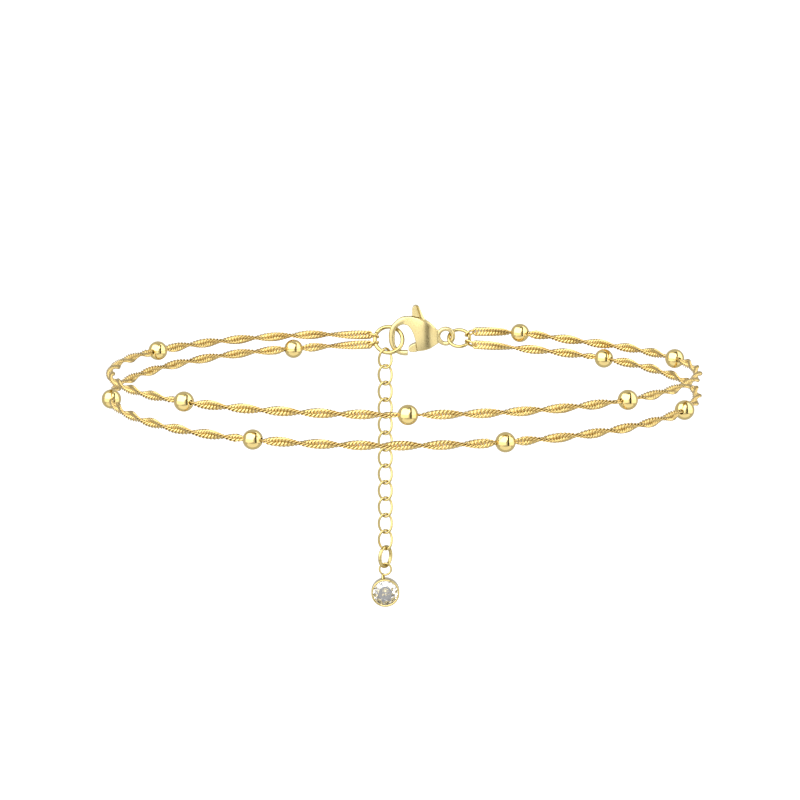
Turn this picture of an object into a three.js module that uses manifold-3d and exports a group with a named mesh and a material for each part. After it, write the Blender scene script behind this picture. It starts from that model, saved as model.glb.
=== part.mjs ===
// A two-strand anklet in yellow gold-coloured brass: two twisted curb chains with
// polished beads, a lobster clasp, and an extender chain that ends in a round drop
// set with a clear crystal.
//
// Units are millimetres and +Z is up. The origin is the middle of the loop, on the
// ankle's axis, at the height of the upper strand. The clasp is at the back (+Y).

import * as THREE from 'three';
import { mergeVertices } from 'three/addons/utils/BufferGeometryUtils.js';
import Module from 'manifold-3d';

// ---------- driving dimensions ----------

// Loop: an ellipse seen from above, one for each strand.
const LOOP_CENTRE_X = 0.05;
const UPPER_LOOP = { halfWidth: 37.35, halfDepth: 31.5 };
const LOWER_LOOP = { halfWidth: 37.3, halfDepth: 30.6 };
const CHAIN_DIAMETER = 1.0;
const CHAIN_SIDES = 8;
const CHAIN_STEPS = 72;
const END_BLEND = THREE.MathUtils.degToRad(14);

// Each strand ends in a small link through a jump ring.
const END_LINK_LENGTH = 1.6;
const END_LINK_WIDTH = 1.16;
const END_LINK_WIRE = 0.22;
const END_LINK_OFFSET = 0.24;

// Beads, by their place on the ellipse in degrees from the front, + to the right.
const BEAD_DIAMETER = 2.5;
const BEAD_BORE = 1.3;
const UPPER_BEADS_DEG = [-120, -46, 0.7, 47, 109.5, 155.3];
const LOWER_BEADS_DEG = [-156.5, -84.7, -29.4, 19.1, 70, 134.6];
const BEAD_PUSH_WIDTH = THREE.MathUtils.degToRad(9);

// Findings, all near the plane of the clasp.
const CLASP_Y = 31.1;
const EXTENDER_RING = { diameter: 4.3, wire: 0.55, x: -2.03, y: CLASP_Y, z: -0.84, tiltDeg: 30 };
const CLASP_RING = { diameter: 3.3, wire: 0.46, x: 7.5, y: 30.95, z: -0.6, tiltDeg: 46 };

// Lobster clasp.
const HOOK_THICKNESS = 0.9;
const BODY_THICKNESS = 2.0;
const SLOT_WIDTH = 0.82;
const PLATE_THICKNESS = 0.62;
const TAB_THICKNESS = 1.2;
const GATE_THICKNESS = 1.5;
const PIVOT = { x: 3.2, z: -0.2 };
const PIN_DIAMETER = 0.6;
const PIN_CLEARANCE = 0.06;
const TAIL_LOOP = { x: 5.68, z: -0.35, diameter: 2.62, wire: 0.6 };

// Extender chain of curb links, which twist so that each lies in the next.
const LINK_COUNT = 12;
const LINK = { width: 2.1, height: 3.0, wire: 0.33, twist: 0.5, pitch: 2.28 };
const FIRST_LINK = { x: -2.5, y: 30.2, z: -3.22, turnDeg: 18 };

// The drop: a jump ring, then a bezel cup with its own soldered loop, and a crystal.
const DROP_X = -2.5;
const DROP_RING = { diameter: 3.2, wire: 0.5, turnDeg: 57, z: -30.64 };
const DROP_LOOP = { diameter: 1.86, wire: 0.28, z: -32.38 };
const BEZEL = { diameter: 3.86, z: -35.6, back: 0.9, front: 0.78, rimRadius: 1.66 };
const CRYSTAL = { girdleRadius: 1.7, tableRadius: 0.94 };

// ---------- materials ----------

const polishedGold = new THREE.MeshStandardMaterial({ color: 0xe3c063, roughness: 0.12, metalness: 1 });
const chainGold = new THREE.MeshStandardMaterial({ color: 0xdcb257, roughness: 0.25, metalness: 1 });
const clearCrystal = new THREE.MeshStandardMaterial({ color: 0xf2f4f6, roughness: 0.03, metalness: 0 });

// ---------- joining and cutting ----------

const wasm = await Module();
wasm.setup();

function toSolid(geometry) {
  const bare = geometry.clone();
  bare.deleteAttribute('normal');
  bare.deleteAttribute('uv');
  const merged = mergeVertices(bare, 1e-5);
  return new wasm.Manifold(new wasm.Mesh({
    numProp: 3,
    vertProperties: new Float32Array(merged.attributes.position.array),
    triVerts: new Uint32Array(merged.index.array),
  }));
}

function toGeometry(solid) {
  const { numProp, vertProperties, triVerts } = solid.getMesh();
  const positions = new Float32Array((vertProperties.length / numProp) * 3);
  for (let vertex = 0; vertex < positions.length / 3; vertex += 1) {
    positions.set(vertProperties.subarray(vertex * numProp, vertex * numProp + 3), vertex * 3);
  }
  const geometry = new THREE.BufferGeometry();
  geometry.setAttribute('position', new THREE.BufferAttribute(positions, 3));
  geometry.setIndex(new THREE.BufferAttribute(new Uint32Array(triVerts), 1));
  geometry.computeVertexNormals();
  return geometry;
}

function join(...geometries) {
  return toGeometry(geometries.map(toSolid).reduce((sum, solid) => sum.add(solid)));
}

function cut(geometry, ...tools) {
  return toGeometry(tools.map(toSolid).reduce((rest, tool) => rest.subtract(tool), toSolid(geometry)));
}

function mesh(name, geometry, material) {
  const piece = new THREE.Mesh(geometry, material);
  piece.name = name;
  return piece;
}

// ---------- rings ----------

// A round or oval wire ring standing in the XZ plane. A twist pushes its quarters to the
// front and back in turn, as a curb link's are.
function wireRing({ width, height, wire, twist = 0, sides = 6, steps = 18 }) {
  const mean = 1;
  const halfWidth = (width - wire) / 2;
  const halfHeight = (height - wire) / 2;
  const geometry = new THREE.TorusGeometry(mean, wire / 2, sides, steps);
  const position = geometry.attributes.position;
  for (let i = 0; i < position.count; i += 1) {
    const turn = Math.atan2(position.getY(i), position.getX(i));
    const x = position.getX(i) + (halfWidth - mean) * Math.cos(turn);
    const y = position.getY(i) + (halfHeight - mean) * Math.sin(turn);
    const z = position.getZ(i) - twist * Math.cos(turn) * Math.sin(turn);
    position.setXYZ(i, x, y, z);
  }
  return geometry.rotateX(Math.PI / 2);
}

// A jump ring whose top leans back, away from the front of the loop.
function leaningRing(name, { diameter, wire, x, y, z, tiltDeg }) {
  const geometry = wireRing({ width: diameter, height: diameter, wire, sides: 8, steps: 24 });
  const ring = mesh(name, geometry, polishedGold);
  ring.rotation.x = -THREE.MathUtils.degToRad(tiltDeg);
  ring.position.set(x, y, z);
  return ring;
}

// Where a strand holds a leaning ring's wire, on one side (-1 left, +1 right) at a given
// height: the wire's middle, its direction there, and the way out from it to the strand.
function holdOn({ diameter, wire, x, y, z, tiltDeg }, side, height) {
  const radius = (diameter - wire) / 2;
  const tilt = THREE.MathUtils.degToRad(tiltDeg);
  const along = (height - z) / Math.cos(tilt);
  const across = side * Math.sqrt(radius * radius - along * along);
  const point = new THREE.Vector3(x + across, y + along * Math.sin(tilt), height);
  const wireWay = new THREE.Vector3(-along, across * Math.sin(tilt), across * Math.cos(tilt)).normalize();
  const outward = new THREE.Vector3(side, 0, 0).projectOnPlane(wireWay).normalize();
  return { point, wireWay, outward };
}

// ---------- strands ----------

// Near the clasp a bead lies against the other strand and holds its own strand away.
function nudge(angle, beadDegrees, amount) {
  const away = (angle - THREE.MathUtils.degToRad(beadDegrees)) / BEAD_PUSH_WIDTH;
  return amount * Math.exp(-away * away);
}

function upperHeight(angle) {
  const wave = 0.06 + 0.14 * Math.sin(2 * angle) * Math.sin(angle) ** 2;
  return wave + nudge(angle, UPPER_BEADS_DEG.at(-1), 0.4);
}

function lowerHeight(angle) {
  const rise = -2.71 - 1.25 * Math.cos(angle) + 0.11 * Math.cos(2 * angle);
  const slant = 0.1 * Math.sin(angle) * (1 + Math.cos(angle));
  return rise + slant + nudge(angle, LOWER_BEADS_DEG[0], -0.1);
}

// The route of one strand: round the front from the extender's ring to the clasp's ring.
class StrandRoute extends THREE.Curve {
  constructor({ halfWidth, halfDepth }, heightAt, start, end) {
    super();
    this.halfWidth = halfWidth;
    this.halfDepth = halfDepth;
    this.heightAt = heightAt;
    this.startAngle = this.angleAtX(start.x, -1);
    this.endAngle = this.angleAtX(end.x, 1);
    this.startShift = start.clone().sub(this.onLoop(this.startAngle));
    this.endShift = end.clone().sub(this.onLoop(this.endAngle));
  }

  // The angle at which the loop passes a given x at the back.
  angleAtX(x, side) {
    return side * Math.PI - Math.asin((x - LOOP_CENTRE_X) / this.halfWidth);
  }

  onLoop(angle) {
    return new THREE.Vector3(
      LOOP_CENTRE_X + this.halfWidth * Math.sin(angle),
      -this.halfDepth * Math.cos(angle),
      this.heightAt(angle),
    );
  }

  atAngle(angle) {
    const nearStart = 1 - THREE.MathUtils.smoothstep(angle - this.startAngle, 0, END_BLEND);
    const nearEnd = 1 - THREE.MathUtils.smoothstep(this.endAngle - angle, 0, END_BLEND);
    return this.onLoop(angle)
      .addScaledVector(this.startShift, nearStart)
      .addScaledVector(this.endShift, nearEnd);
  }

  getPoint(t, target = new THREE.Vector3()) {
    return target.copy(this.atAngle(THREE.MathUtils.lerp(this.startAngle, this.endAngle, t)));
  }
}

// The small link that joins a strand's end to the wire of a ring, square to that wire.
function endLink({ point, wireWay, outward }) {
  const link = wireRing({ width: END_LINK_LENGTH, height: END_LINK_WIDTH, wire: END_LINK_WIRE, steps: 16 });
  const upright = outward.clone().cross(wireWay);
  const centre = point.clone().addScaledVector(outward, END_LINK_OFFSET);
  return link.applyMatrix4(new THREE.Matrix4().makeBasis(outward, wireWay, upright).setPosition(centre));
}

function strand(name, route, startHold, endHold) {
  const section = new THREE.Shape();
  for (let i = 0; i < CHAIN_SIDES; i += 1) {
    const turn = (2 * Math.PI * i) / CHAIN_SIDES;
    const x = (CHAIN_DIAMETER / 2) * Math.cos(turn);
    const y = (CHAIN_DIAMETER / 2) * Math.sin(turn);
    if (i === 0) section.moveTo(x, y);
    else section.lineTo(x, y);
  }
  const tube = new THREE.ExtrudeGeometry(section, { extrudePath: route, steps: CHAIN_STEPS });
  return mesh(name, join(tube, endLink(startHold), endLink(endHold)), chainGold);
}

// A polished bead, bored through for the chain.
function bead(name, route, angle) {
  const radius = BEAD_DIAMETER / 2;
  const bore = BEAD_BORE / 2;
  const end = Math.asin(bore / radius);
  const arcSteps = 7;
  const profile = [];
  for (let i = 0; i <= arcSteps; i += 1) {
    const turn = THREE.MathUtils.lerp(Math.PI - end, end, i / arcSteps);
    profile.push(new THREE.Vector2(radius * Math.sin(turn), radius * Math.cos(turn)));
  }
  profile.push(profile[0].clone());
  const piece = mesh(name, new THREE.LatheGeometry(profile, 16), polishedGold);
  const step = 0.01;
  const before = route.atAngle(angle - step);
  const after = route.atAngle(angle + step);
  piece.position.copy(before).add(after).multiplyScalar(0.5);
  piece.quaternion.setFromUnitVectors(new THREE.Vector3(0, 1, 0), after.sub(before).normalize());
  return piece;
}

function strandWithBeads(kind, loop, heightAt, startHeight, endHeight, beadAngles) {
  const group = new THREE.Group();
  const startHold = holdOn(EXTENDER_RING, -1, startHeight);
  const endHold = holdOn(CLASP_RING, 1, endHeight);
  const reach = END_LINK_OFFSET + END_LINK_LENGTH / 2 - END_LINK_WIRE;
  const start = startHold.point.clone().addScaledVector(startHold.outward, reach);
  const end = endHold.point.clone().addScaledVector(endHold.outward, reach);
  const route = new StrandRoute(loop, heightAt, start, end);
  group.add(strand(`strand_${kind}`, route, startHold, endHold));
  beadAngles.forEach((degrees, i) => {
    group.add(bead(`bead_${kind}_${i + 1}`, route, THREE.MathUtils.degToRad(degrees)));
  });
  return group;
}

// ---------- lobster clasp ----------

// A plate with the given outline in the XZ plane, centred on the clasp's own plane.
function plate(points, thickness, bevel = 0) {
  const outline = new THREE.Shape(points.map(([x, z]) => new THREE.Vector2(x, z)));
  const geometry = new THREE.ExtrudeGeometry(outline, {
    depth: thickness - 2 * bevel,
    bevelEnabled: bevel > 0,
    bevelThickness: bevel,
    bevelSize: bevel,
    bevelOffset: -bevel,
    bevelSegments: 2,
  });
  return geometry.translate(0, 0, bevel - thickness / 2).rotateX(Math.PI / 2);
}

// A round bar along Y through the pivot.
function pivotBar(diameter, length) {
  return new THREE.CylinderGeometry(diameter / 2, diameter / 2, length, 16).translate(PIVOT.x, 0, PIVOT.z);
}

function claspBody() {
  const hook = plate([
    [1.2, 2.33], [0.58, 2.42], [0.04, 2.28], [-0.5, 2.0], [-1.04, 1.66], [-1.45, 1.25], [-1.76, 0.77],
    [-1.97, 0.12], [-2.05, -0.6], [-1.99, -1.2], [-1.82, -1.7], [-1.5, -2.25], [-1.04, -2.72],
    [-0.5, -2.99], [0.05, -3.02], [0.6, -2.98], [0.6, -2.22], [0.1, -2.24], [-0.35, -2.15],
    [-0.85, -1.75], [-1.1, -1.25], [-1.2, -0.68], [-1.2, -0.08], [-1.04, 0.46], [-0.78, 0.86],
    [-0.36, 1.16], [0.1, 1.24], [1.2, 1.0],
  ], HOOK_THICKNESS, 0.22);
  const body = plate([
    [0.3, 2.36], [1.12, 2.38], [2.0, 2.2], [2.88, 1.87], [3.55, 1.46], [4.09, 0.98], [4.55, 0.52],
    [4.95, 0.38], [4.95, -1.1], [4.5, -1.42], [3.96, -1.76], [3.55, -2.0], [2.88, -2.2], [1.84, -2.36],
    [1.66, -1.2], [1.5, -0.6], [1.36, -0.05], [1.02, 0.64], [0.58, 1.16], [0.3, 1.28],
  ], BODY_THICKNESS, 0.42);
  const tailLoop = wireRing({
    width: TAIL_LOOP.diameter, height: TAIL_LOOP.diameter, wire: TAIL_LOOP.wire, sides: 8, steps: 22,
  }).translate(TAIL_LOOP.x, 0, TAIL_LOOP.z);
  const slot = plate([
    [1.12, 3.0], [4.4, 3.0], [4.4, -0.6], [3.6, -1.1], [2.0, -2.2], [1.7, -2.7], [1.2, -2.7],
    [1.2, -0.05], [1.72, -0.05], [1.4, 0.75], [1.12, 1.15],
  ], SLOT_WIDTH);
  const tailEye = new THREE.CylinderGeometry(
    TAIL_LOOP.diameter / 2 - TAIL_LOOP.wire, TAIL_LOOP.diameter / 2 - TAIL_LOOP.wire, 3, 22,
  ).translate(TAIL_LOOP.x, 0, TAIL_LOOP.z);
  const joined = join(hook, body, tailLoop);
  const geometry = cut(joined, slot, tailEye, pivotBar(PIN_DIAMETER + PIN_CLEARANCE, 3));
  return mesh('clasp_body', geometry, polishedGold);
}

// The thumb tab, the plate in the slot and the gate that closes the mouth are one piece.
function claspLever() {
  const arm = plate([
    [1.3, 2.6], [2.7, 2.3], [3.3, 0.9], [3.95, 0.3], [4.0, -0.4], [3.5, -0.85], [1.75, -2.15],
    [1.3, -2.1], [1.3, -1.5], [2.4, -0.2], [2.3, 0.5], [1.3, 2.0],
  ], PLATE_THICKNESS);
  const tab = plate([
    [1.14, 2.46], [1.12, 3.3], [1.22, 3.66], [1.42, 3.86], [1.7, 3.92], [1.95, 3.82], [2.12, 3.55],
    [2.45, 2.8], [2.8, 2.0], [2.1, 2.28],
  ], TAB_THICKNESS, 0.24);
  const gate = plate([
    [0.66, -2.22], [0.64, -1.93], [0.78, -1.68], [1.14, -1.42], [1.6, -1.24], [1.78, -2.38],
    [1.4, -2.44], [0.9, -2.42],
  ], GATE_THICKNESS, 0.16);
  const geometry = cut(join(arm, tab, gate), pivotBar(PIN_DIAMETER + PIN_CLEARANCE, 3));
  return mesh('clasp_lever', geometry, polishedGold);
}

function clasp() {
  const group = new THREE.Group();
  group.add(claspBody(), claspLever());
  group.add(mesh('clasp_pin', pivotBar(PIN_DIAMETER, BODY_THICKNESS), polishedGold));
  group.position.y = CLASP_Y;
  return group;
}

// ---------- extender and drop ----------

function extender() {
  const group = new THREE.Group();
  for (let i = 0; i < LINK_COUNT; i += 1) {
    const link = mesh(`extender_link_${i + 1}`, wireRing(LINK), polishedGold);
    link.rotation.z = i === 0 ? THREE.MathUtils.degToRad(FIRST_LINK.turnDeg) : 0;
    link.position.set(FIRST_LINK.x, FIRST_LINK.y, FIRST_LINK.z - i * LINK.pitch);
    group.add(link);
  }
  return group;
}

function dropRing() {
  const { diameter, wire, turnDeg, z } = DROP_RING;
  const ring = mesh('drop_ring', wireRing({ width: diameter, height: diameter, wire, sides: 8, steps: 22 }),
    polishedGold);
  ring.rotation.z = THREE.MathUtils.degToRad(turnDeg);
  ring.position.set(DROP_X, FIRST_LINK.y, z);
  return ring;
}

// The bezel cup faces the front. Its wall is folded over the crystal's girdle, its back is
// open, and the loop is soldered to its top by a short neck.
function dropBezel() {
  const radius = BEZEL.diameter / 2;
  const profile = [
    [1.1, BEZEL.back], [radius - 0.12, BEZEL.back], [radius, BEZEL.back - 0.14],
    [radius, 0.16 - BEZEL.front], [radius - 0.12, -BEZEL.front], [BEZEL.rimRadius, 0.04 - BEZEL.front],
    [BEZEL.rimRadius, 0.1 - BEZEL.front + 0.34], [CRYSTAL.girdleRadius + 0.05, 0.48 - BEZEL.front],
    [CRYSTAL.girdleRadius + 0.05, 0.1], [1.1, 0.7], [1.1, BEZEL.back],
  ].map(([r, y]) => new THREE.Vector2(r, y));
  const cup = new THREE.LatheGeometry(profile.reverse(), 28).translate(DROP_X, 0, BEZEL.z);
  const loop = wireRing({
    width: DROP_LOOP.diameter, height: DROP_LOOP.diameter, wire: DROP_LOOP.wire, steps: 20,
  }).translate(DROP_X, 0, DROP_LOOP.z);
  const neck = new THREE.CylinderGeometry(0.24, 0.3, 0.75, 10).rotateX(Math.PI / 2)
    .translate(DROP_X - 0.3, 0, BEZEL.z + radius + 0.12);
  const piece = mesh('drop_bezel', join(cup, loop, neck), polishedGold);
  piece.position.y = FIRST_LINK.y;
  return piece;
}

// A round brilliant: table to the front, girdle, and a pavilion that runs back to a point.
function dropCrystal() {
  const { girdleRadius, tableRadius } = CRYSTAL;
  const profile = [
    [0, -0.78], [tableRadius, -0.78], [girdleRadius - 0.1, -0.38], [girdleRadius, -0.28],
    [girdleRadius, -0.2], [0.02, 0.82], [0, 0.82],
  ].map(([r, y]) => new THREE.Vector2(r, y));
  const piece = mesh('drop_crystal', new THREE.LatheGeometry(profile, 16), clearCrystal);
  piece.position.set(DROP_X, FIRST_LINK.y, BEZEL.z);
  return piece;
}

// ---------- the anklet ----------

const anklet = new THREE.Group();
anklet.name = 'anklet';
anklet.add(strandWithBeads('upper', UPPER_LOOP, upperHeight, -0.4, -0.1, UPPER_BEADS_DEG));
anklet.add(strandWithBeads('lower', LOWER_LOOP, lowerHeight, -1.28, -1.1, LOWER_BEADS_DEG));
anklet.add(leaningRing('ring_extender', EXTENDER_RING));
anklet.add(leaningRing('ring_clasp', CLASP_RING));
anklet.add(clasp());
anklet.add(extender());
anklet.add(dropRing(), dropBezel(), dropCrystal());

export default anklet;
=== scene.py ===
import math

import bmesh
import bpy
import numpy as np
from mathutils import Matrix, Vector


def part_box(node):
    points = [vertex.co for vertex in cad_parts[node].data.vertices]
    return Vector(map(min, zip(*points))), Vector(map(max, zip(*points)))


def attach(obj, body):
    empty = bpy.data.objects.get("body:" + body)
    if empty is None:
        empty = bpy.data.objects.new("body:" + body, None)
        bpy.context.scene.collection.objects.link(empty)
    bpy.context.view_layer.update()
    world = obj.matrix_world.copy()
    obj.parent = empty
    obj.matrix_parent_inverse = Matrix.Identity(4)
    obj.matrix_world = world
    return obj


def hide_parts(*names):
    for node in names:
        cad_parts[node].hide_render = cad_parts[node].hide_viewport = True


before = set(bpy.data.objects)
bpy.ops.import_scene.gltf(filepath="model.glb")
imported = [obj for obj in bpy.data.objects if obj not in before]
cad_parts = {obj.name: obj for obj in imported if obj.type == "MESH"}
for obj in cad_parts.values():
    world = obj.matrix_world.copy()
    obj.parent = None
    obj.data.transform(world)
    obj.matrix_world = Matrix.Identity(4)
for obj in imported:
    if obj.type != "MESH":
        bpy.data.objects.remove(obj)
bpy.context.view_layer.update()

# ---------------------------------------------------------------- camera
# A long lens half a metre off, a little above the loop's plane and looking to the clasp.
MM = 0.001
CAMERA_DISTANCE = 502.5 * MM
CAMERA_ELEVATION = math.radians(9.55)
CAMERA_AIM = Vector((-0.47 * MM, 0.0, -3.66 * MM))

camera = bpy.data.objects.new("camera", bpy.data.cameras.new("camera"))
camera.data.lens = 177.4
camera.data.sensor_width = 36.0
camera.location = (0.0, -CAMERA_DISTANCE * math.cos(CAMERA_ELEVATION), CAMERA_DISTANCE * math.sin(CAMERA_ELEVATION))
camera.rotation_euler = (CAMERA_AIM - camera.location).to_track_quat("-Z", "Y").to_euler()
bpy.context.scene.collection.objects.link(camera)
bpy.context.scene.camera = camera

# ---------------------------------------------------------------- twisted chain
# Each strand is a fine curb chain, its links struck flat and the whole drawn into a right-hand
# twist, so it shows wide faces and narrow waists in turn. A plain oval link ends it at each ring.
RING_A = {"radius": 1.875, "wire": 0.55, "centre": (-2.03, 31.1, -0.84), "tilt": 30.0}
RING_B = {"radius": 1.42, "wire": 0.46, "centre": (7.5, 30.95, -0.6), "tilt": 46.0}
BEAD_RADIUS = 1.25
END_LINK = {"length": 1.6, "width": 1.16, "wire": 0.3, "offset": 0.24}
LOOP_CENTRE_X = 0.05
END_BLEND = math.radians(14)
PUSH_WIDTH = math.radians(9)
LINK_PITCH = 0.42
LINK_LENGTH = 0.88
LINK_WIDTH = 0.88
LINK_RISE = 0.2
LINK_WIRE = (0.085, 0.2)
# Where the twist shows edge on, as (distance along the strand, half turns so far).
UPPER_WAISTS = ((0.1, 0.4), (5.4, 1), (26.4, 5), (76.6, 15), (116.1, 23), (181.3, 36),
                (196.4, 39), (201.4, 39.6))
LOWER_WAISTS = ((0.1, 0.4), (5.4, 1), (26.4, 5), (75.0, 15), (99.9, 20), (178.9, 36),
                (193.8, 39), (198.8, 39.6))
PINCH = 0.5


def gold(name, colour, roughness, grain, bump):
    """Polished gold-coloured plate: fine unevenness in its gloss and a very slight skin."""
    material = bpy.data.materials.new(name)
    material.use_nodes = True
    nodes, links = material.node_tree.nodes, material.node_tree.links
    shader = nodes["Principled BSDF"]
    shader.inputs["Metallic"].default_value = 1.0
    place = nodes.new("ShaderNodeTexCoord")
    cloud = nodes.new("ShaderNodeTexNoise")
    cloud.inputs["Scale"].default_value = grain
    cloud.inputs["Detail"].default_value = 4.0
    links.new(place.outputs["Object"], cloud.inputs["Vector"])
    gloss = nodes.new("ShaderNodeMapRange")
    gloss.inputs["To Min"].default_value = roughness * 0.7
    gloss.inputs["To Max"].default_value = roughness * 1.4
    links.new(cloud.outputs["Fac"], gloss.inputs["Value"])
    links.new(gloss.outputs["Result"], shader.inputs["Roughness"])
    tone = nodes.new("ShaderNodeMix")
    tone.data_type = "RGBA"
    tone.inputs["A"].default_value = (*[c * 0.94 for c in colour], 1.0)
    tone.inputs["B"].default_value = (*[min(1.0, c * 1.05) for c in colour], 1.0)
    links.new(cloud.outputs["Fac"], tone.inputs["Factor"])
    links.new(tone.outputs["Result"], shader.inputs["Base Color"])
    skin = nodes.new("ShaderNodeBump")
    skin.inputs["Strength"].default_value = bump
    skin.inputs["Distance"].default_value = 0.01 * MM
    links.new(cloud.outputs["Fac"], skin.inputs["Height"])
    links.new(skin.outputs["Normal"], shader.inputs["Normal"])
    return material


def shown(name, mesh, material, body, replaced, smooth=True):
    """Puts a finished mesh in the scene, in place of its CAD node."""
    mesh.materials.clear()
    mesh.materials.append(material)
    mesh.polygons.foreach_set("use_smooth", [smooth] * len(mesh.polygons))
    piece = bpy.data.objects.new(name, mesh)
    bpy.context.scene.collection.objects.link(piece)
    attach(piece, body)
    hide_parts(replaced)
    return piece


def hold_on(ring, side, height):
    """Where a strand holds a leaning ring: the wire's middle, its direction and the way out."""
    tilt = math.radians(ring["tilt"])
    x, y, z = ring["centre"]
    along = (height - z) / math.cos(tilt)
    across = side * math.sqrt(ring["radius"] ** 2 - along ** 2)
    point = np.array([x + across, y + along * math.sin(tilt), height])
    way = np.array([-along, across * math.sin(tilt), across * math.cos(tilt)])
    way /= np.linalg.norm(way)
    outward = np.array([side, 0.0, 0.0]) - side * way[0] * way
    return point, way, outward / np.linalg.norm(outward)


def push(angle, bead_degrees, amount):
    """A bead near the clasp holds its strand away from the other one."""
    return amount * np.exp(-((angle - math.radians(bead_degrees)) / PUSH_WIDTH) ** 2)


def upper_height(angle):
    return 0.06 + 0.14 * np.sin(2 * angle) * np.sin(angle) ** 2 + push(angle, 155.3, 0.4)


def lower_height(angle):
    rise = -2.71 - 1.25 * np.cos(angle) + 0.11 * np.cos(2 * angle)
    return rise + 0.1 * np.sin(angle) * (1 + np.cos(angle)) + push(angle, -156.5, -0.1)


def smooth_fall(distance):
    t = np.clip(distance / END_BLEND, 0, 1)
    return 1 - t * t * (3 - 2 * t)


def strand_route(half_width, half_depth, height, start, end):
    """Points every few hundredths of a millimetre along a strand, from one ring to the other."""
    def on_loop(angle):
        across = LOOP_CENTRE_X + half_width * np.sin(angle)
        return np.stack([across, -half_depth * np.cos(angle), height(angle)], -1)

    first = -math.pi - math.asin((start[0] - LOOP_CENTRE_X) / half_width)
    last = math.pi - math.asin((end[0] - LOOP_CENTRE_X) / half_width)
    angle = np.linspace(first, last, 6000)
    route = on_loop(angle)
    route += smooth_fall(angle - first)[:, None] * (start - on_loop(np.array(first)))
    route += smooth_fall(last - angle)[:, None] * (end - on_loop(np.array(last)))
    return angle, route


def wire_loop(half_length, half_width, rise, wire, steps, sides):
    """A link's vertices and faces: a wire of oval section along a saddle-shaped oval."""
    turn = np.linspace(0, 2 * math.pi, steps, endpoint=False)
    line = np.stack([half_length * np.cos(turn), half_width * np.sin(turn), -rise / 2 * np.sin(2 * turn)], 1)
    ahead = np.stack([-half_length * np.sin(turn), half_width * np.cos(turn), -rise * np.cos(2 * turn)], 1)
    ahead /= np.linalg.norm(ahead, axis=1)[:, None]
    lift = np.array([0, 0, 1.0]) - ahead[:, 2:3] * ahead
    lift /= np.linalg.norm(lift, axis=1)[:, None]
    side = np.cross(ahead, lift)
    around = np.linspace(0, 2 * math.pi, sides, endpoint=False)
    vertices = (line[:, None] + wire[0] * np.cos(around)[None, :, None] * lift[:, None]
                + wire[1] * np.sin(around)[None, :, None] * side[:, None]).reshape(-1, 3)
    ring, spoke = np.meshgrid(np.arange(steps), np.arange(sides), indexing="ij")
    next_ring, next_spoke = (ring + 1) % steps, (spoke + 1) % sides
    faces = np.stack([ring * sides + spoke, ring * sides + next_spoke,
                      next_ring * sides + next_spoke, next_ring * sides + spoke], -1).reshape(-1, 4)
    return vertices, faces


def strand_mesh(name, route, holds, waists, beads):
    """All links of one strand, set on the route, turned with the twist and pinched at beads."""
    steps = np.linalg.norm(np.diff(route, axis=0), axis=1)
    length = np.concatenate([[0], np.cumsum(steps)])
    middle = np.arange(LINK_PITCH * 0.6, length[-1] - LINK_PITCH * 0.4, LINK_PITCH)
    centre = np.stack([np.interp(middle, length, route[:, k]) for k in range(3)], 1)
    ahead = np.stack([np.interp(middle, length, np.gradient(route[:, k], length)) for k in range(3)], 1)
    ahead /= np.linalg.norm(ahead, axis=1)[:, None]
    upright = np.array([0, 0, 1.0]) - ahead[:, 2:3] * ahead
    upright /= np.linalg.norm(upright, axis=1)[:, None]
    level = np.cross(ahead, upright)
    twist = math.pi * (0.5 + np.interp(middle, *np.array(waists).T))
    wide = np.cos(twist)[:, None] * upright + np.sin(twist)[:, None] * level
    flat = np.cross(ahead, wide)
    shape, faces = wire_loop(LINK_LENGTH / 2, LINK_WIDTH / 2, LINK_RISE, LINK_WIRE, 16, 6)
    near = np.linalg.norm(centre[:, None] - np.array(beads)[None], axis=2).min(axis=1)
    opened = np.clip((near - BEAD_RADIUS) / 1.3, 0, 1)
    size = (PINCH + (1 - PINCH) * opened * opened * (3 - 2 * opened))[:, None, None]
    vertices = (centre[:, None] + shape[None, :, 0:1] * ahead[:, None]
                + size * shape[None, :, 1:2] * wide[:, None]
                + size * shape[None, :, 2:3] * flat[:, None]).reshape(-1, 3)
    every = (faces[None] + (np.arange(len(middle)) * len(shape))[:, None, None]).reshape(-1, 4)
    half = END_LINK["wire"] / 2
    end_shape, end_faces = wire_loop(END_LINK["length"] / 2 - half, END_LINK["width"] / 2 - half, 0.0,
                                     (half, half), 28, 10)
    for point, way, outward in holds:
        base = np.stack([outward, np.cross(way, outward), way])
        place = point + END_LINK["offset"] * outward
        every = np.concatenate([every, end_faces + len(vertices)])
        vertices = np.concatenate([vertices, end_shape @ base + place])
    mesh = bpy.data.meshes.new(name)
    mesh.from_pydata((vertices * MM).tolist(), [], every.tolist())
    mesh.update()
    return mesh


# The chain's gold is a darker copy of the beads' gold: the darkening is painted shade.
chain_gold = gold("chain_gold", (0.64, 0.475, 0.185), 0.13, 9000.0, 0.25)
reach = END_LINK["offset"] + END_LINK["length"] / 2 - END_LINK["wire"]
routes = {}
for kind, loop, height, ends, waists in (
    ("upper", (37.35, 31.5), upper_height, (-0.4, -0.1), UPPER_WAISTS),
    ("lower", (37.3, 30.6), lower_height, (-1.28, -1.1), LOWER_WAISTS),
):
    holds = [hold_on(RING_A, -1, ends[0]), hold_on(RING_B, 1, ends[1])]
    start, end = [point + reach * outward for point, way, outward in holds]
    angle, route = strand_route(*loop, height, start, end)
    routes[kind] = (angle, route)
    beads = [np.mean(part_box(f"bead_{kind}_{number}"), axis=0) / MM for number in range(1, 7)]
    mesh = strand_mesh(f"chain_{kind}", route, holds, waists, beads)
    shown(f"chain_{kind}", mesh, chain_gold, "anklet", f"strand_{kind}")

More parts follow.
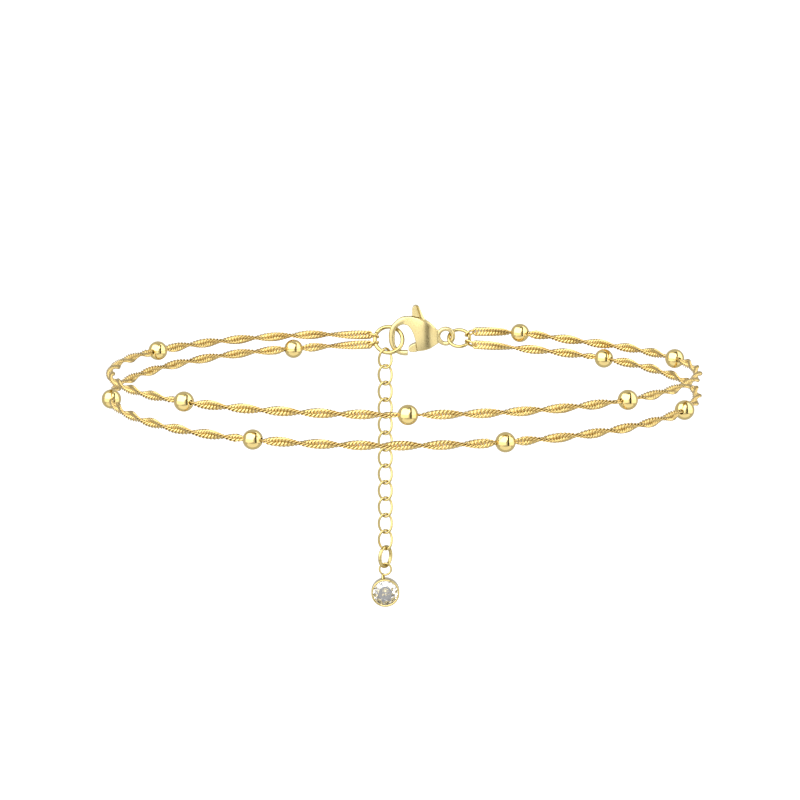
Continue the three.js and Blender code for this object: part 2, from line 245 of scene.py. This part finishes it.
# ---------------------------------------------------------------- beads
# Polished round beads, stamped in gold-coloured metal and bored through, with a soft lip where
# the bore meets the ball. The chain runs through them.
BORE_RADIUS = 0.3
LIP = 0.04
polished_gold = gold("polished_gold", (0.78, 0.61, 0.25), 0.12, 2500.0, 0.12)


def spun(bm, profile, steps, axis=(0, 0, 1), centre=(0, 0, 0)):
    """Spins a closed profile, given in the XZ plane, all the way round."""
    corners = [bm.verts.new(Vector((r, 0, z)) * MM) for r, z in profile]
    edges = [bm.edges.new((corners[k - 1], corners[k])) for k in range(len(corners))]
    bmesh.ops.spin(bm, geom=corners + edges, cent=centre, axis=axis, angle=2 * math.pi, steps=steps,
                   use_merge=True)
    bmesh.ops.remove_doubles(bm, verts=bm.verts, dist=0.0005 * MM)
    bmesh.ops.recalc_face_normals(bm, faces=bm.faces)


def finished(name, bm):
    mesh = bpy.data.meshes.new(name)
    bm.to_mesh(mesh)
    bm.free()
    return mesh


def arc(centre_r, centre_z, radius, start, end, count):
    """Points on a round stretch of a profile, in degrees from the outward direction."""
    turns = np.radians(np.linspace(start, end, count))
    return [(centre_r + radius * math.cos(t), centre_z + radius * math.sin(t)) for t in turns]


def bead(name, direction):
    low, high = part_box(name)
    middle = (Vector(low) + Vector(high)) / 2
    edge = math.degrees(math.acos((BORE_RADIUS + LIP) / BEAD_RADIUS)) - 0.5
    bore_half = BEAD_RADIUS * math.sin(math.radians(edge)) - LIP
    profile = arc(0, 0, BEAD_RADIUS, -edge, edge, 25)
    profile += arc(BORE_RADIUS + LIP, bore_half, LIP, 100, 180, 4)
    profile += arc(BORE_RADIUS + LIP, -bore_half, LIP, 180, 260, 4)
    bm = bmesh.new()
    spun(bm, profile, 48)
    turn = Vector(direction).to_track_quat("Z", "Y").to_matrix().to_4x4()
    bmesh.ops.transform(bm, matrix=Matrix.Translation(middle) @ turn, verts=bm.verts)
    return finished(name, bm)


for kind, (angle, route) in routes.items():
    ahead = np.gradient(route, axis=0)
    for number in range(1, 7):
        node = f"bead_{kind}_{number}"
        low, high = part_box(node)
        middle = (np.array(low) + np.array(high)) / 2 / MM
        nearest = np.argmin(np.linalg.norm(route - middle, axis=1))
        shown(f"ball_{kind}_{number}", bead(node, ahead[nearest]), polished_gold, "anklet", node)

# ---------------------------------------------------------------- jump rings
# Round wire rings, cut from a coil and closed so that their two ends meet in a fine seam. The
# larger one takes the extender, the clasp's hook and both strands; the smaller one the clasp's tail.
SEAM_DEGREES = 1.6
# The wire pieces' gold is a darker copy of the beads' gold: the darkening is painted shade.
wire_gold_painted_shade = gold("wire_gold_painted_shade", (0.55, 0.44, 0.18), 0.12, 3000.0, 0.12)


def wire_ring(name, radius, wire, seam, turn, centre):
    """A ring of round wire, standing in the XZ plane before it's turned and placed."""
    bm = bmesh.new()
    made = bmesh.ops.create_circle(bm, cap_ends=True, segments=20, radius=wire / 2 * MM)
    onto_rim = Matrix.Rotation(math.radians(seam + SEAM_DEGREES / 2), 4, "Y").inverted()
    onto_rim = onto_rim @ Matrix.Translation((radius * MM, 0, 0))
    bmesh.ops.transform(bm, matrix=onto_rim, verts=made["verts"])
    bmesh.ops.spin(bm, geom=bm.faces[:] + bm.verts[:] + bm.edges[:], cent=(0, 0, 0), axis=(0, -1, 0),
                   angle=math.radians(360 - SEAM_DEGREES), steps=72, use_duplicate=False)
    bmesh.ops.recalc_face_normals(bm, faces=bm.faces)
    bmesh.ops.transform(bm, matrix=Matrix.Translation(Vector(centre) * MM) @ turn, verts=bm.verts)
    return finished(name, bm)


for name, node, ring, seam in (
    ("jump_ring_extender", "ring_extender", RING_A, 150.0),
    ("jump_ring_clasp", "ring_clasp", RING_B, -60.0),
):
    lean = Matrix.Rotation(-math.radians(ring["tilt"]), 4, "X")
    mesh = wire_ring(name, ring["radius"], ring["wire"], seam, lean, ring["centre"])
    shown(name, mesh, wire_gold_painted_shade, "anklet", node)

# ---------------------------------------------------------------- clasp body
# Cast in one piece: a swelling body, a wire-like hook that curls round from its shoulder, and a
# tail loop. A slot is cut through it from the back for the lever, and it is tumbled to a soft polish.
CLASP_Y = 31.1
SLOT_WIDTH = 0.82
PIVOT = (3.2, -0.2)
PIN_RADIUS = 0.3
TAIL = {"centre": (5.68, -0.35), "radius": 1.01, "wire": 0.6}
HOOK_LINE = [(1.3, 1.62), (0.6, 1.78), (0.0, 1.8), (-0.5, 1.62), (-0.98, 1.28), (-1.34, 0.86), (-1.53, 0.36),
             (-1.61, -0.2), (-1.61, -0.8), (-1.53, -1.38), (-1.31, -1.9), (-0.93, -2.28), (-0.42, -2.54),
             (0.1, -2.61), (0.56, -2.6)]
HOOK_WIDTH = [1.2, 1.2, 1.14, 0.96, 0.82, 0.8, 0.82, 0.84, 0.82, 0.74, 0.68, 0.67, 0.7, 0.76, 0.77]
BODY_OUTLINE = [(0.0, 2.25), (0.55, 2.38), (1.12, 2.38), (2.0, 2.2), (2.88, 1.87), (3.55, 1.46), (4.09, 0.98),
                (4.5, 0.56), (4.95, 0.38), (4.95, -1.1), (4.5, -1.42), (3.96, -1.76), (3.55, -2.0),
                (2.88, -2.2), (1.84, -2.36), (1.66, -1.2), (1.5, -0.6), (1.36, -0.05), (1.02, 0.64),
                (0.58, 1.16), (0.0, 1.3)]
BODY_SWELL = [(-0.2, 0.44), (0.6, 0.58), (1.2, 0.8), (1.8, 0.94), (2.3, 1.0), (2.9, 0.985), (3.2, 0.93),
              (3.6, 0.81), (4.0, 0.63), (4.5, 0.36), (5.2, 0.15)]
LIP_OUTLINE = [(2.0, 3.2), (2.0, 2.2), (2.3, 1.96), (3.0, 1.64), (3.7, 1.16), (4.3, 0.6), (4.6, 0.9), (4.6, 3.2)]
BODY_CROWN = 0.2
# The clasp's gold is a darker copy of the beads' gold: the darkening is painted shade. Its higher roughness is the
# soft polish.
clasp_gold_painted_shade = gold("clasp_gold_painted_shade", (0.63, 0.52, 0.25), 0.28, 3500.0, 0.06)
SLOT_OUTLINE = [(1.12, 3.0), (4.4, 3.0), (4.4, -0.6), (3.6, -1.1), (2.0, -2.2), (1.7, -2.7), (1.2, -2.7),
                (1.2, -0.05), (1.72, -0.05), (1.4, 0.75), (1.12, 1.15)]


def prism(bm, outline, half_thickness):
    """A flat plate with its outline in XZ, from -half_thickness to +half_thickness in Y."""
    corners = [bm.verts.new(Vector((x, -half_thickness, z)) * MM) for x, z in outline]
    face = bm.faces.new(corners)
    pulled = bmesh.ops.extrude_face_region(bm, geom=[face])
    tops = [v for v in pulled["geom"] if isinstance(v, bmesh.types.BMVert)]
    bmesh.ops.translate(bm, verts=tops, vec=(0, 2 * half_thickness * MM, 0))
    bmesh.ops.recalc_face_normals(bm, faces=bm.faces)


def worked(name, bm):
    """An object that modifiers can work on before its mesh is taken."""
    piece = bpy.data.objects.new(name, finished(name, bm))
    bpy.context.scene.collection.objects.link(piece)
    return piece


def boolean(piece, tool, operation):
    step = piece.modifiers.new("join_or_cut", "BOOLEAN")
    step.operation = operation
    step.solver = "EXACT"
    step.object = tool


def taken(name, piece, tools):
    """The mesh as its modifiers leave it. The working objects are thrown away."""
    bpy.context.view_layer.update()
    graph = bpy.context.evaluated_depsgraph_get()
    mesh = bpy.data.meshes.new_from_object(piece.evaluated_get(graph))
    mesh.name = name
    for used in [piece, *tools]:
        bpy.data.objects.remove(used)
    return mesh


def rounded(name, piece, tools, voxel, passes):
    """Melts joined shapes into one skin and rounds their edges, as casting and tumbling do."""
    skin = piece.modifiers.new("skin", "REMESH")
    skin.mode = "VOXEL"
    skin.voxel_size = voxel * MM
    soften = piece.modifiers.new("soften", "SMOOTH")
    soften.factor = 0.5
    soften.iterations = passes
    mesh = taken(name, piece, tools)
    return bpy.data.objects.new(name, mesh)


def rod(bm, line, widths, half_thickness, sides=16):
    """A bar of oval section along points in XZ, with a width for each point and flat ends."""
    line = np.array(line)
    ahead = np.gradient(line, axis=0)
    ahead /= np.linalg.norm(ahead, axis=1)[:, None]
    rings = []
    for (x, z), (ax, az), width in zip(line, ahead, widths):
        ring = []
        for t in np.linspace(0, 2 * math.pi, sides, endpoint=False):
            c, s = math.cos(t), math.sin(t)
            across = width / 2 * math.copysign(abs(c) ** 0.75, c)
            depth = half_thickness * math.copysign(abs(s) ** 0.75, s)
            ring.append(bm.verts.new(Vector((x - az * across, depth, z + ax * across)) * MM))
        rings.append(ring)
    edges = [[bm.edges.new((ring[k - 1], ring[k])) for k in range(sides)] for ring in rings]
    for before, after in zip(edges, edges[1:]):
        bmesh.ops.bridge_loops(bm, edges=before + after)
    bm.faces.new(rings[0])
    bm.faces.new(rings[-1])
    bmesh.ops.recalc_face_normals(bm, faces=bm.faces)


def fine_line(points, count):
    """A smooth line through given points."""
    points = np.array(points, float)
    spacing = np.concatenate([[0], np.cumsum(np.linalg.norm(np.diff(points, axis=0), axis=1))])
    wanted = np.linspace(0, spacing[-1], count)
    slopes = np.gradient(points, spacing, axis=0)
    k = np.clip(np.searchsorted(spacing, wanted, side="right") - 1, 0, len(points) - 2)
    span = (spacing[k + 1] - spacing[k])[:, None]
    t = ((wanted - spacing[k])[:, None]) / span
    return ((1 + 2 * t) * (1 - t) ** 2 * points[k] + t * (1 - t) ** 2 * span * slopes[k]
            + t * t * (3 - 2 * t) * points[k + 1] + t * t * (t - 1) * span * slopes[k + 1])


# The swelling body: a plate with its side outline, made thicker to the middle both ways.
bm = bmesh.new()
prism(bm, BODY_OUTLINE, 1.0)
body = rounded("clasp_form", worked("clasp_form", bm), [], 0.06, 2)
bpy.context.scene.collection.objects.link(body)
skin = np.empty(3 * len(body.data.vertices))
body.data.vertices.foreach_get("co", skin)
skin = skin.reshape(-1, 3)
thick = np.interp(skin[:, 0] / MM, *fine_line(BODY_SWELL, 40).T)
skin[:, 1] *= thick * (1 - BODY_CROWN * ((skin[:, 2] / MM - 0.1) / 2.3) ** 2)
body.data.vertices.foreach_set("co", skin.ravel())

# The hook and the tail loop, joined to it.
bm = bmesh.new()
hook = fine_line(np.column_stack([np.array(HOOK_LINE), HOOK_WIDTH]), 44)
rod(bm, hook[:, :2], hook[:, 2], 0.45)
hook_tool = worked("hook_tool", bm)
bm = bmesh.new()
made = bmesh.ops.create_circle(bm, segments=20, radius=TAIL["wire"] / 2 * MM)
bmesh.ops.scale(bm, vec=(1, 1.15, 1), verts=made["verts"])
bmesh.ops.translate(bm, vec=(TAIL["radius"] * MM, 0, 0), verts=made["verts"])
bmesh.ops.spin(bm, geom=bm.edges[:] + bm.verts[:], cent=(0, 0, 0), axis=(0, 1, 0), angle=2 * math.pi, steps=56,
               use_merge=True)
bmesh.ops.remove_doubles(bm, verts=bm.verts, dist=0.0005 * MM)
bmesh.ops.recalc_face_normals(bm, faces=bm.faces)
bmesh.ops.translate(bm, vec=Vector((TAIL["centre"][0], 0, TAIL["centre"][1])) * MM, verts=bm.verts)
tail_tool = worked("tail_tool", bm)
boolean(body, hook_tool, "UNION")
boolean(body, tail_tool, "UNION")
body = rounded("clasp_cast", body, [hook_tool, tail_tool], 0.045, 7)
bpy.context.scene.collection.objects.link(body)

# The slot for the lever, its front wall left lower than its back one, and the blind pin hole.
bm = bmesh.new()
prism(bm, SLOT_OUTLINE, SLOT_WIDTH / 2)
slot_tool = worked("slot_tool", bm)
bm = bmesh.new()
bmesh.ops.create_cone(bm, cap_ends=True, segments=40, radius1=(PIN_RADIUS + 0.02) * MM,
                      radius2=(PIN_RADIUS + 0.02) * MM, depth=1.5 * MM,
                      matrix=Matrix.Translation(Vector((PIVOT[0], 0, PIVOT[1])) * MM)
                      @ Matrix.Rotation(math.pi / 2, 4, "X"))
hole_tool = worked("hole_tool", bm)
bm = bmesh.new()
prism(bm, LIP_OUTLINE, 0.5)
bmesh.ops.translate(bm, verts=bm.verts, vec=(0, -0.7 * MM, 0))
lip_tool = worked("lip_tool", bm)
boolean(body, slot_tool, "DIFFERENCE")
boolean(body, lip_tool, "DIFFERENCE")
boolean(body, hole_tool, "DIFFERENCE")
mesh = taken("clasp_casting", body, [slot_tool, lip_tool, hole_tool])
mesh.transform(Matrix.Translation((0, CLASP_Y * MM, 0)))
shown("clasp_casting", mesh, clasp_gold_painted_shade, "anklet", "clasp_body")

# ---------------------------------------------------------------- clasp lever
# The thumb tab, the arm in the slot and the gate are one stamped and polished piece. It turns on
# a riveted pin, and a small spring inside holds its gate on the hook's tip.
ARM_OUTLINE = [(1.3, 2.6), (2.7, 2.3), (3.3, 0.9), (3.95, 0.3), (4.0, -0.4), (3.5, -0.85), (1.75, -2.15),
               (1.3, -2.1), (1.3, -1.5), (2.4, -0.2), (2.3, 0.5), (1.3, 2.0)]
TAB_OUTLINE = [(1.14, 2.46), (1.12, 3.3), (1.22, 3.66), (1.42, 3.86), (1.7, 3.92), (1.95, 3.82), (2.12, 3.55),
               (2.45, 2.8), (2.8, 2.0), (2.1, 2.28)]
TAB_BEVEL = 1.0
TAB_LINE = 0.3
GATE_OUTLINE = [(0.66, -2.22), (0.64, -1.93), (0.78, -1.68), (1.14, -1.42), (1.66, -1.21), (1.835, -2.365),
                (1.4, -2.44), (0.9, -2.42)]
bm = bmesh.new()
prism(bm, ARM_OUTLINE, 0.31)
lever = worked("lever_form", bm)
tools = []
for outline, half_thickness in ((TAB_OUTLINE, 0.6), (GATE_OUTLINE, 0.75)):
    bm = bmesh.new()
    prism(bm, outline, half_thickness)
    tools.append(worked("lever_tool", bm))
    boolean(lever, tools[-1], "UNION")
lever = rounded("lever_stamping", lever, tools, 0.04, 5)
bpy.context.scene.collection.objects.link(lever)

bm = bmesh.new()
bmesh.ops.create_cone(bm, cap_ends=True, segments=40, radius1=(PIN_RADIUS + 0.02) * MM,
                      radius2=(PIN_RADIUS + 0.02) * MM, depth=4 * MM,
                      matrix=Matrix.Translation(Vector((PIVOT[0], 0, PIVOT[1])) * MM)
                      @ Matrix.Rotation(math.pi / 2, 4, "X"))
hole_tool = worked("hole_tool", bm)
boolean(lever, hole_tool, "DIFFERENCE")
mesh = taken("thumb_lever", lever, [hole_tool])

# The tab's right-hand side is bevelled off, front and back, from a struck line that slants down it.
form = np.empty(3 * len(mesh.vertices))
mesh.vertices.foreach_get("co", form)
form = form.reshape(-1, 3)
beyond = form[:, 0] / MM - np.interp(form[:, 2] / MM, (2.0, 3.79), (2.34, 1.8))
bevel = 0.6 - TAB_BEVEL * np.maximum(beyond, 0.0) - TAB_LINE * np.exp(-(beyond / 0.09) ** 2)
limit = np.where(form[:, 2] > 1.95 * MM, np.maximum(bevel, 0.1), 9.0) * MM
form[:, 1] = np.clip(form[:, 1], -limit, limit)
mesh.vertices.foreach_set("co", form.ravel())
mesh.transform(Matrix.Translation((0, CLASP_Y * MM, 0)))
shown("thumb_lever", mesh, clasp_gold_painted_shade, "lever", "clasp_lever")

bm = bmesh.new()
spun(bm, [(0, -0.72), (0.26, -0.72), (0.3, -0.68), (0.3, 0.68), (0.26, 0.72), (0, 0.72)], 32)
bmesh.ops.transform(bm, matrix=Matrix.Translation(Vector((PIVOT[0], CLASP_Y, PIVOT[1])) * MM)
                    @ Matrix.Rotation(math.pi / 2, 4, "X"), verts=bm.verts)
shown("rivet_pin", finished("rivet_pin", bm), polished_gold, "anklet", "clasp_pin")

# ---------------------------------------------------------------- extender chain
# Twelve oval curb links of round wire. Each is bent into a slight saddle so that it lies in the
# next, and its soldered joint is dressed flush.
LINK_HALF_WIDTH = 0.885
LINK_HALF_HEIGHT = 1.335
LINK_SADDLE = 0.5
FIRST_LINK_TURN = 18.0


def extender_link(name, centre, turn):
    shape, faces = wire_loop(LINK_HALF_WIDTH, LINK_HALF_HEIGHT, LINK_SADDLE, (0.165, 0.165), 48, 14)
    upright = np.stack([shape[:, 0], -shape[:, 2], shape[:, 1]], 1)
    c, s = math.cos(turn), math.sin(turn)
    spun_round = np.stack([upright[:, 0] * c - upright[:, 1] * s, upright[:, 0] * s + upright[:, 1] * c,
                           upright[:, 2]], 1)
    mesh = bpy.data.meshes.new(name)
    mesh.from_pydata((spun_round * MM + np.array(centre)).tolist(), [], faces.tolist())
    mesh.update()
    return mesh


for number in range(1, 13):
    node = f"extender_link_{number}"
    low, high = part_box(node)
    centre = (np.array(low) + np.array(high)) / 2
    turn = math.radians(FIRST_LINK_TURN) if number == 1 else 0.0
    mesh = extender_link(f"curb_link_{number}", centre, turn)
    shown(f"curb_link_{number}", mesh, wire_gold_painted_shade, "anklet", node)

# ---------------------------------------------------------------- drop
# A jump ring carries a small round drop: a bezel cup whose thin wall is folded over a round
# brilliant crystal, with a loop of fine wire soldered to its top.
DROP_X = -2.5
DROP_Y = 30.2
DROP_RING = {"radius": 1.35, "wire": 0.5, "turn": 57.0, "z": -30.64}
DROP_LOOP = {"radius": 0.79, "wire": 0.28, "z": -32.38}
BEZEL_RADIUS = 1.93
BEZEL_Z = -35.6
turn = Matrix.Rotation(math.radians(DROP_RING["turn"]), 4, "Z")
mesh = wire_ring("jump_ring_drop", DROP_RING["radius"], DROP_RING["wire"], 35.0, turn,
                 (DROP_X, DROP_Y, DROP_RING["z"]))
shown("jump_ring_drop", mesh, wire_gold_painted_shade, "anklet", "drop_ring")

bm = bmesh.new()
profile = [(1.1, 0.9)] + arc(BEZEL_RADIUS - 0.14, 0.76, 0.14, 90, 0, 5)
profile += arc(BEZEL_RADIUS - 0.12, -0.64, 0.12, 0, -80, 7) + [(1.72, -0.76), (1.69, -0.72), (1.68, -0.62)]
profile += [(1.68, -0.4), (1.77, -0.32), (1.77, 0.1), (1.1, 0.7)]
spun(bm, profile[::-1], 96)
bmesh.ops.rotate(bm, verts=bm.verts, cent=(0, 0, 0), matrix=Matrix.Rotation(-math.pi / 2, 3, "X"))
bmesh.ops.recalc_face_normals(bm, faces=bm.faces)
cup = worked("cup_form", bm)
tools = []
bm = bmesh.new()
made = bmesh.ops.create_circle(bm, segments=18, radius=DROP_LOOP["wire"] / 2 * MM)
bmesh.ops.translate(bm, vec=(DROP_LOOP["radius"] * MM, 0, 0), verts=made["verts"])
bmesh.ops.spin(bm, geom=bm.edges[:] + bm.verts[:], cent=(0, 0, 0), axis=(0, 1, 0), angle=2 * math.pi, steps=56,
               use_merge=True)
bmesh.ops.remove_doubles(bm, verts=bm.verts, dist=0.0005 * MM)
bmesh.ops.recalc_face_normals(bm, faces=bm.faces)
bmesh.ops.translate(bm, vec=(0, 0, (DROP_LOOP["z"] - BEZEL_Z) * MM), verts=bm.verts)
tools.append(worked("loop_tool", bm))
bm = bmesh.new()
bmesh.ops.create_cone(bm, cap_ends=True, segments=24, radius1=0.3 * MM, radius2=0.22 * MM, depth=0.75 * MM,
                      matrix=Matrix.Translation(Vector((-0.3, 0, BEZEL_RADIUS + 0.12)) * MM))
tools.append(worked("neck_tool", bm))
for tool in tools:
    boolean(cup, tool, "UNION")
mesh = taken("bezel_cup", cup, tools)
mesh.transform(Matrix.Translation(Vector((DROP_X, DROP_Y, BEZEL_Z)) * MM))
shown("bezel_cup", mesh, wire_gold_painted_shade, "drop", "drop_bezel")

# The crystal's facets: table, stars, kites and halves above the girdle, and mains and halves below.
GIRDLE = 1.72
CRYSTAL_TURN = 9.0
bm = bmesh.new()
rows = ((0.96, -0.78, 8, 0.0), (1.36, -0.60, 8, 22.5), (GIRDLE, -0.30, 16, 0.0), (GIRDLE, -0.22, 16, 0.0),
        (0.62, 0.46, 8, 22.5), (0.02, 0.86, 8, 0.0))
for radius, depth, count, offset in rows:
    for k in range(count):
        t = math.radians(CRYSTAL_TURN + offset + 360.0 * k / count)
        bm.verts.new(Vector((radius * math.cos(t), depth, radius * math.sin(t))) * MM)
bmesh.ops.convex_hull(bm, input=bm.verts)
bmesh.ops.dissolve_limit(bm, angle_limit=math.radians(0.5), verts=bm.verts, edges=bm.edges)
bmesh.ops.recalc_face_normals(bm, faces=bm.faces)
bmesh.ops.translate(bm, vec=Vector((DROP_X, DROP_Y, BEZEL_Z)) * MM, verts=bm.verts)
crystal = bpy.data.materials.new("crystal")
crystal.use_nodes = True
shader = crystal.node_tree.nodes["Principled BSDF"]
shader.inputs["Base Color"].default_value = (0.985, 0.99, 1.0, 1.0)
shader.inputs["Roughness"].default_value = 0.0
shader.inputs["IOR"].default_value = 2.4
shader.inputs["Transmission Weight"].default_value = 1.0
stone = shown("brilliant", finished("brilliant", bm), crystal, "drop", "drop_crystal", smooth=False)

# Its facets behind the girdle are silvered, as on a foil-backed stone, and given a faint painted glow.
foil = bpy.data.materials.new("silver_foil_painted_glow")
foil.use_nodes = True
shader = foil.node_tree.nodes["Principled BSDF"]
shader.inputs["Base Color"].default_value = (0.93, 0.93, 0.94, 1.0)
shader.inputs["Metallic"].default_value = 1.0
shader.inputs["Roughness"].default_value = 0.03
# The white emission is painted light: a faint glow standing in for light that reaches the silvered facets through
# the stone.
shader.inputs["Emission Color"].default_value = (1.0, 1.0, 1.0, 1.0)
shader.inputs["Emission Strength"].default_value = 0.05
stone.data.materials.append(foil)
for face in stone.data.polygons:
    face.material_index = 1 if face.normal.y > 0.1 else 0

# ---------------------------------------------------------------- floor and light
# A plain pale floor well below the drop, in a white tent with a big soft box to each side. A
# dark strip between them, seen only as a reflection, draws the edge down each polished piece.
STRIP_DISTANCE = 0.35
floor_mesh = bpy.data.meshes.new("floor")
bm = bmesh.new()
bmesh.ops.create_grid(bm, x_segments=1, y_segments=1, size=6.0, matrix=Matrix.Translation((0, 0, -90 * MM)))
bm.to_mesh(floor_mesh)
bm.free()
pale = bpy.data.materials.new("pale_floor")
pale.use_nodes = True
shader = pale.node_tree.nodes["Principled BSDF"]
shader.inputs["Base Color"].default_value = (0.25, 0.25, 0.25, 1.0)
shader.inputs["Specular IOR Level"].default_value = 0.0
shader.inputs["Emission Color"].default_value = (1.0, 1.0, 1.0, 1.0)
shader.inputs["Emission Strength"].default_value = 0.95
floor_mesh.materials.append(pale)
floor = bpy.data.objects.new("floor", floor_mesh)
bpy.context.scene.collection.objects.link(floor)
floor.visible_glossy = False
floor.visible_transmission = False
floor.visible_shadow = False


def soft_box(name, azimuth, elevation, distance, width, height, power):
    """An area light aimed at the anklet. Azimuth is measured to the right of the camera."""
    data = bpy.data.lights.new(name, "AREA")
    data.shape = "RECTANGLE"
    data.size, data.size_y, data.energy = width, height, power
    box = bpy.data.objects.new(name, data)
    a, e = math.radians(azimuth), math.radians(elevation)
    box.location = Vector((math.sin(a) * math.cos(e), -math.cos(a) * math.cos(e), math.sin(e))) * distance
    box.rotation_euler = (-box.location).to_track_quat("-Z", "Y").to_euler()
    box.visible_camera = False
    bpy.context.scene.collection.objects.link(box)


soft_box("left_box", -38.0, 42.0, 0.9, 1.9, 1.2, 19.0)
soft_box("left_skirt", -38.0, -9.0, 0.9, 1.9, 0.56, 3.3)
soft_box("right_box", 72.0, 40.0, 0.9, 1.15, 1.2, 7.4)
soft_box("right_skirt", 72.0, -9.0, 0.9, 1.15, 0.56, 2.0)
soft_box("low_box", 0.0, -64.0, 0.9, 2.2, 0.8, 2.9)

# The strip is curved so that a ball shows it as an upright line, hooked over at its top.
strip_mesh = bpy.data.meshes.new("dark_strip")
to_camera = np.array([0.0, -math.cos(CAMERA_ELEVATION), math.sin(CAMERA_ELEVATION)])
upward = np.array([0.0, math.sin(CAMERA_ELEVATION), math.cos(CAMERA_ELEVATION)])
up = np.linspace(-0.34, 0.64, 24)
edges = []
for side in (np.where(up > 0.56, 0.02, 0.2), np.full(24, 0.35)):
    depth = np.sqrt(1 - side ** 2 - up ** 2)
    normal = side[:, None] * np.array([1.0, 0, 0]) + up[:, None] * upward + depth[:, None] * to_camera
    edges.append(STRIP_DISTANCE * (2 * depth[:, None] * normal - to_camera))
strip_faces = [(k, k + 1, k + 25, k + 24) for k in range(23)]
strip_mesh.from_pydata(np.concatenate(edges).tolist(), [], strip_faces)
black = bpy.data.materials.new("black_card")
black.use_nodes = True
black.node_tree.nodes["Principled BSDF"].inputs["Base Color"].default_value = (0.01, 0.01, 0.01, 1.0)
strip_mesh.materials.append(black)
strip = bpy.data.objects.new("dark_strip", strip_mesh)
bpy.context.scene.collection.objects.link(strip)
strip.visible_camera = False
strip.visible_diffuse = False
strip.visible_shadow = False

world = bpy.data.worlds.new("studio")
bpy.context.scene.world = world
world.use_nodes = True
world.node_tree.nodes["Background"].inputs["Color"].default_value = (1.0, 1.0, 1.0, 1.0)
world.node_tree.nodes["Background"].inputs["Strength"].default_value = 0.66
bpy.context.scene.view_settings.view_transform = "Standard"
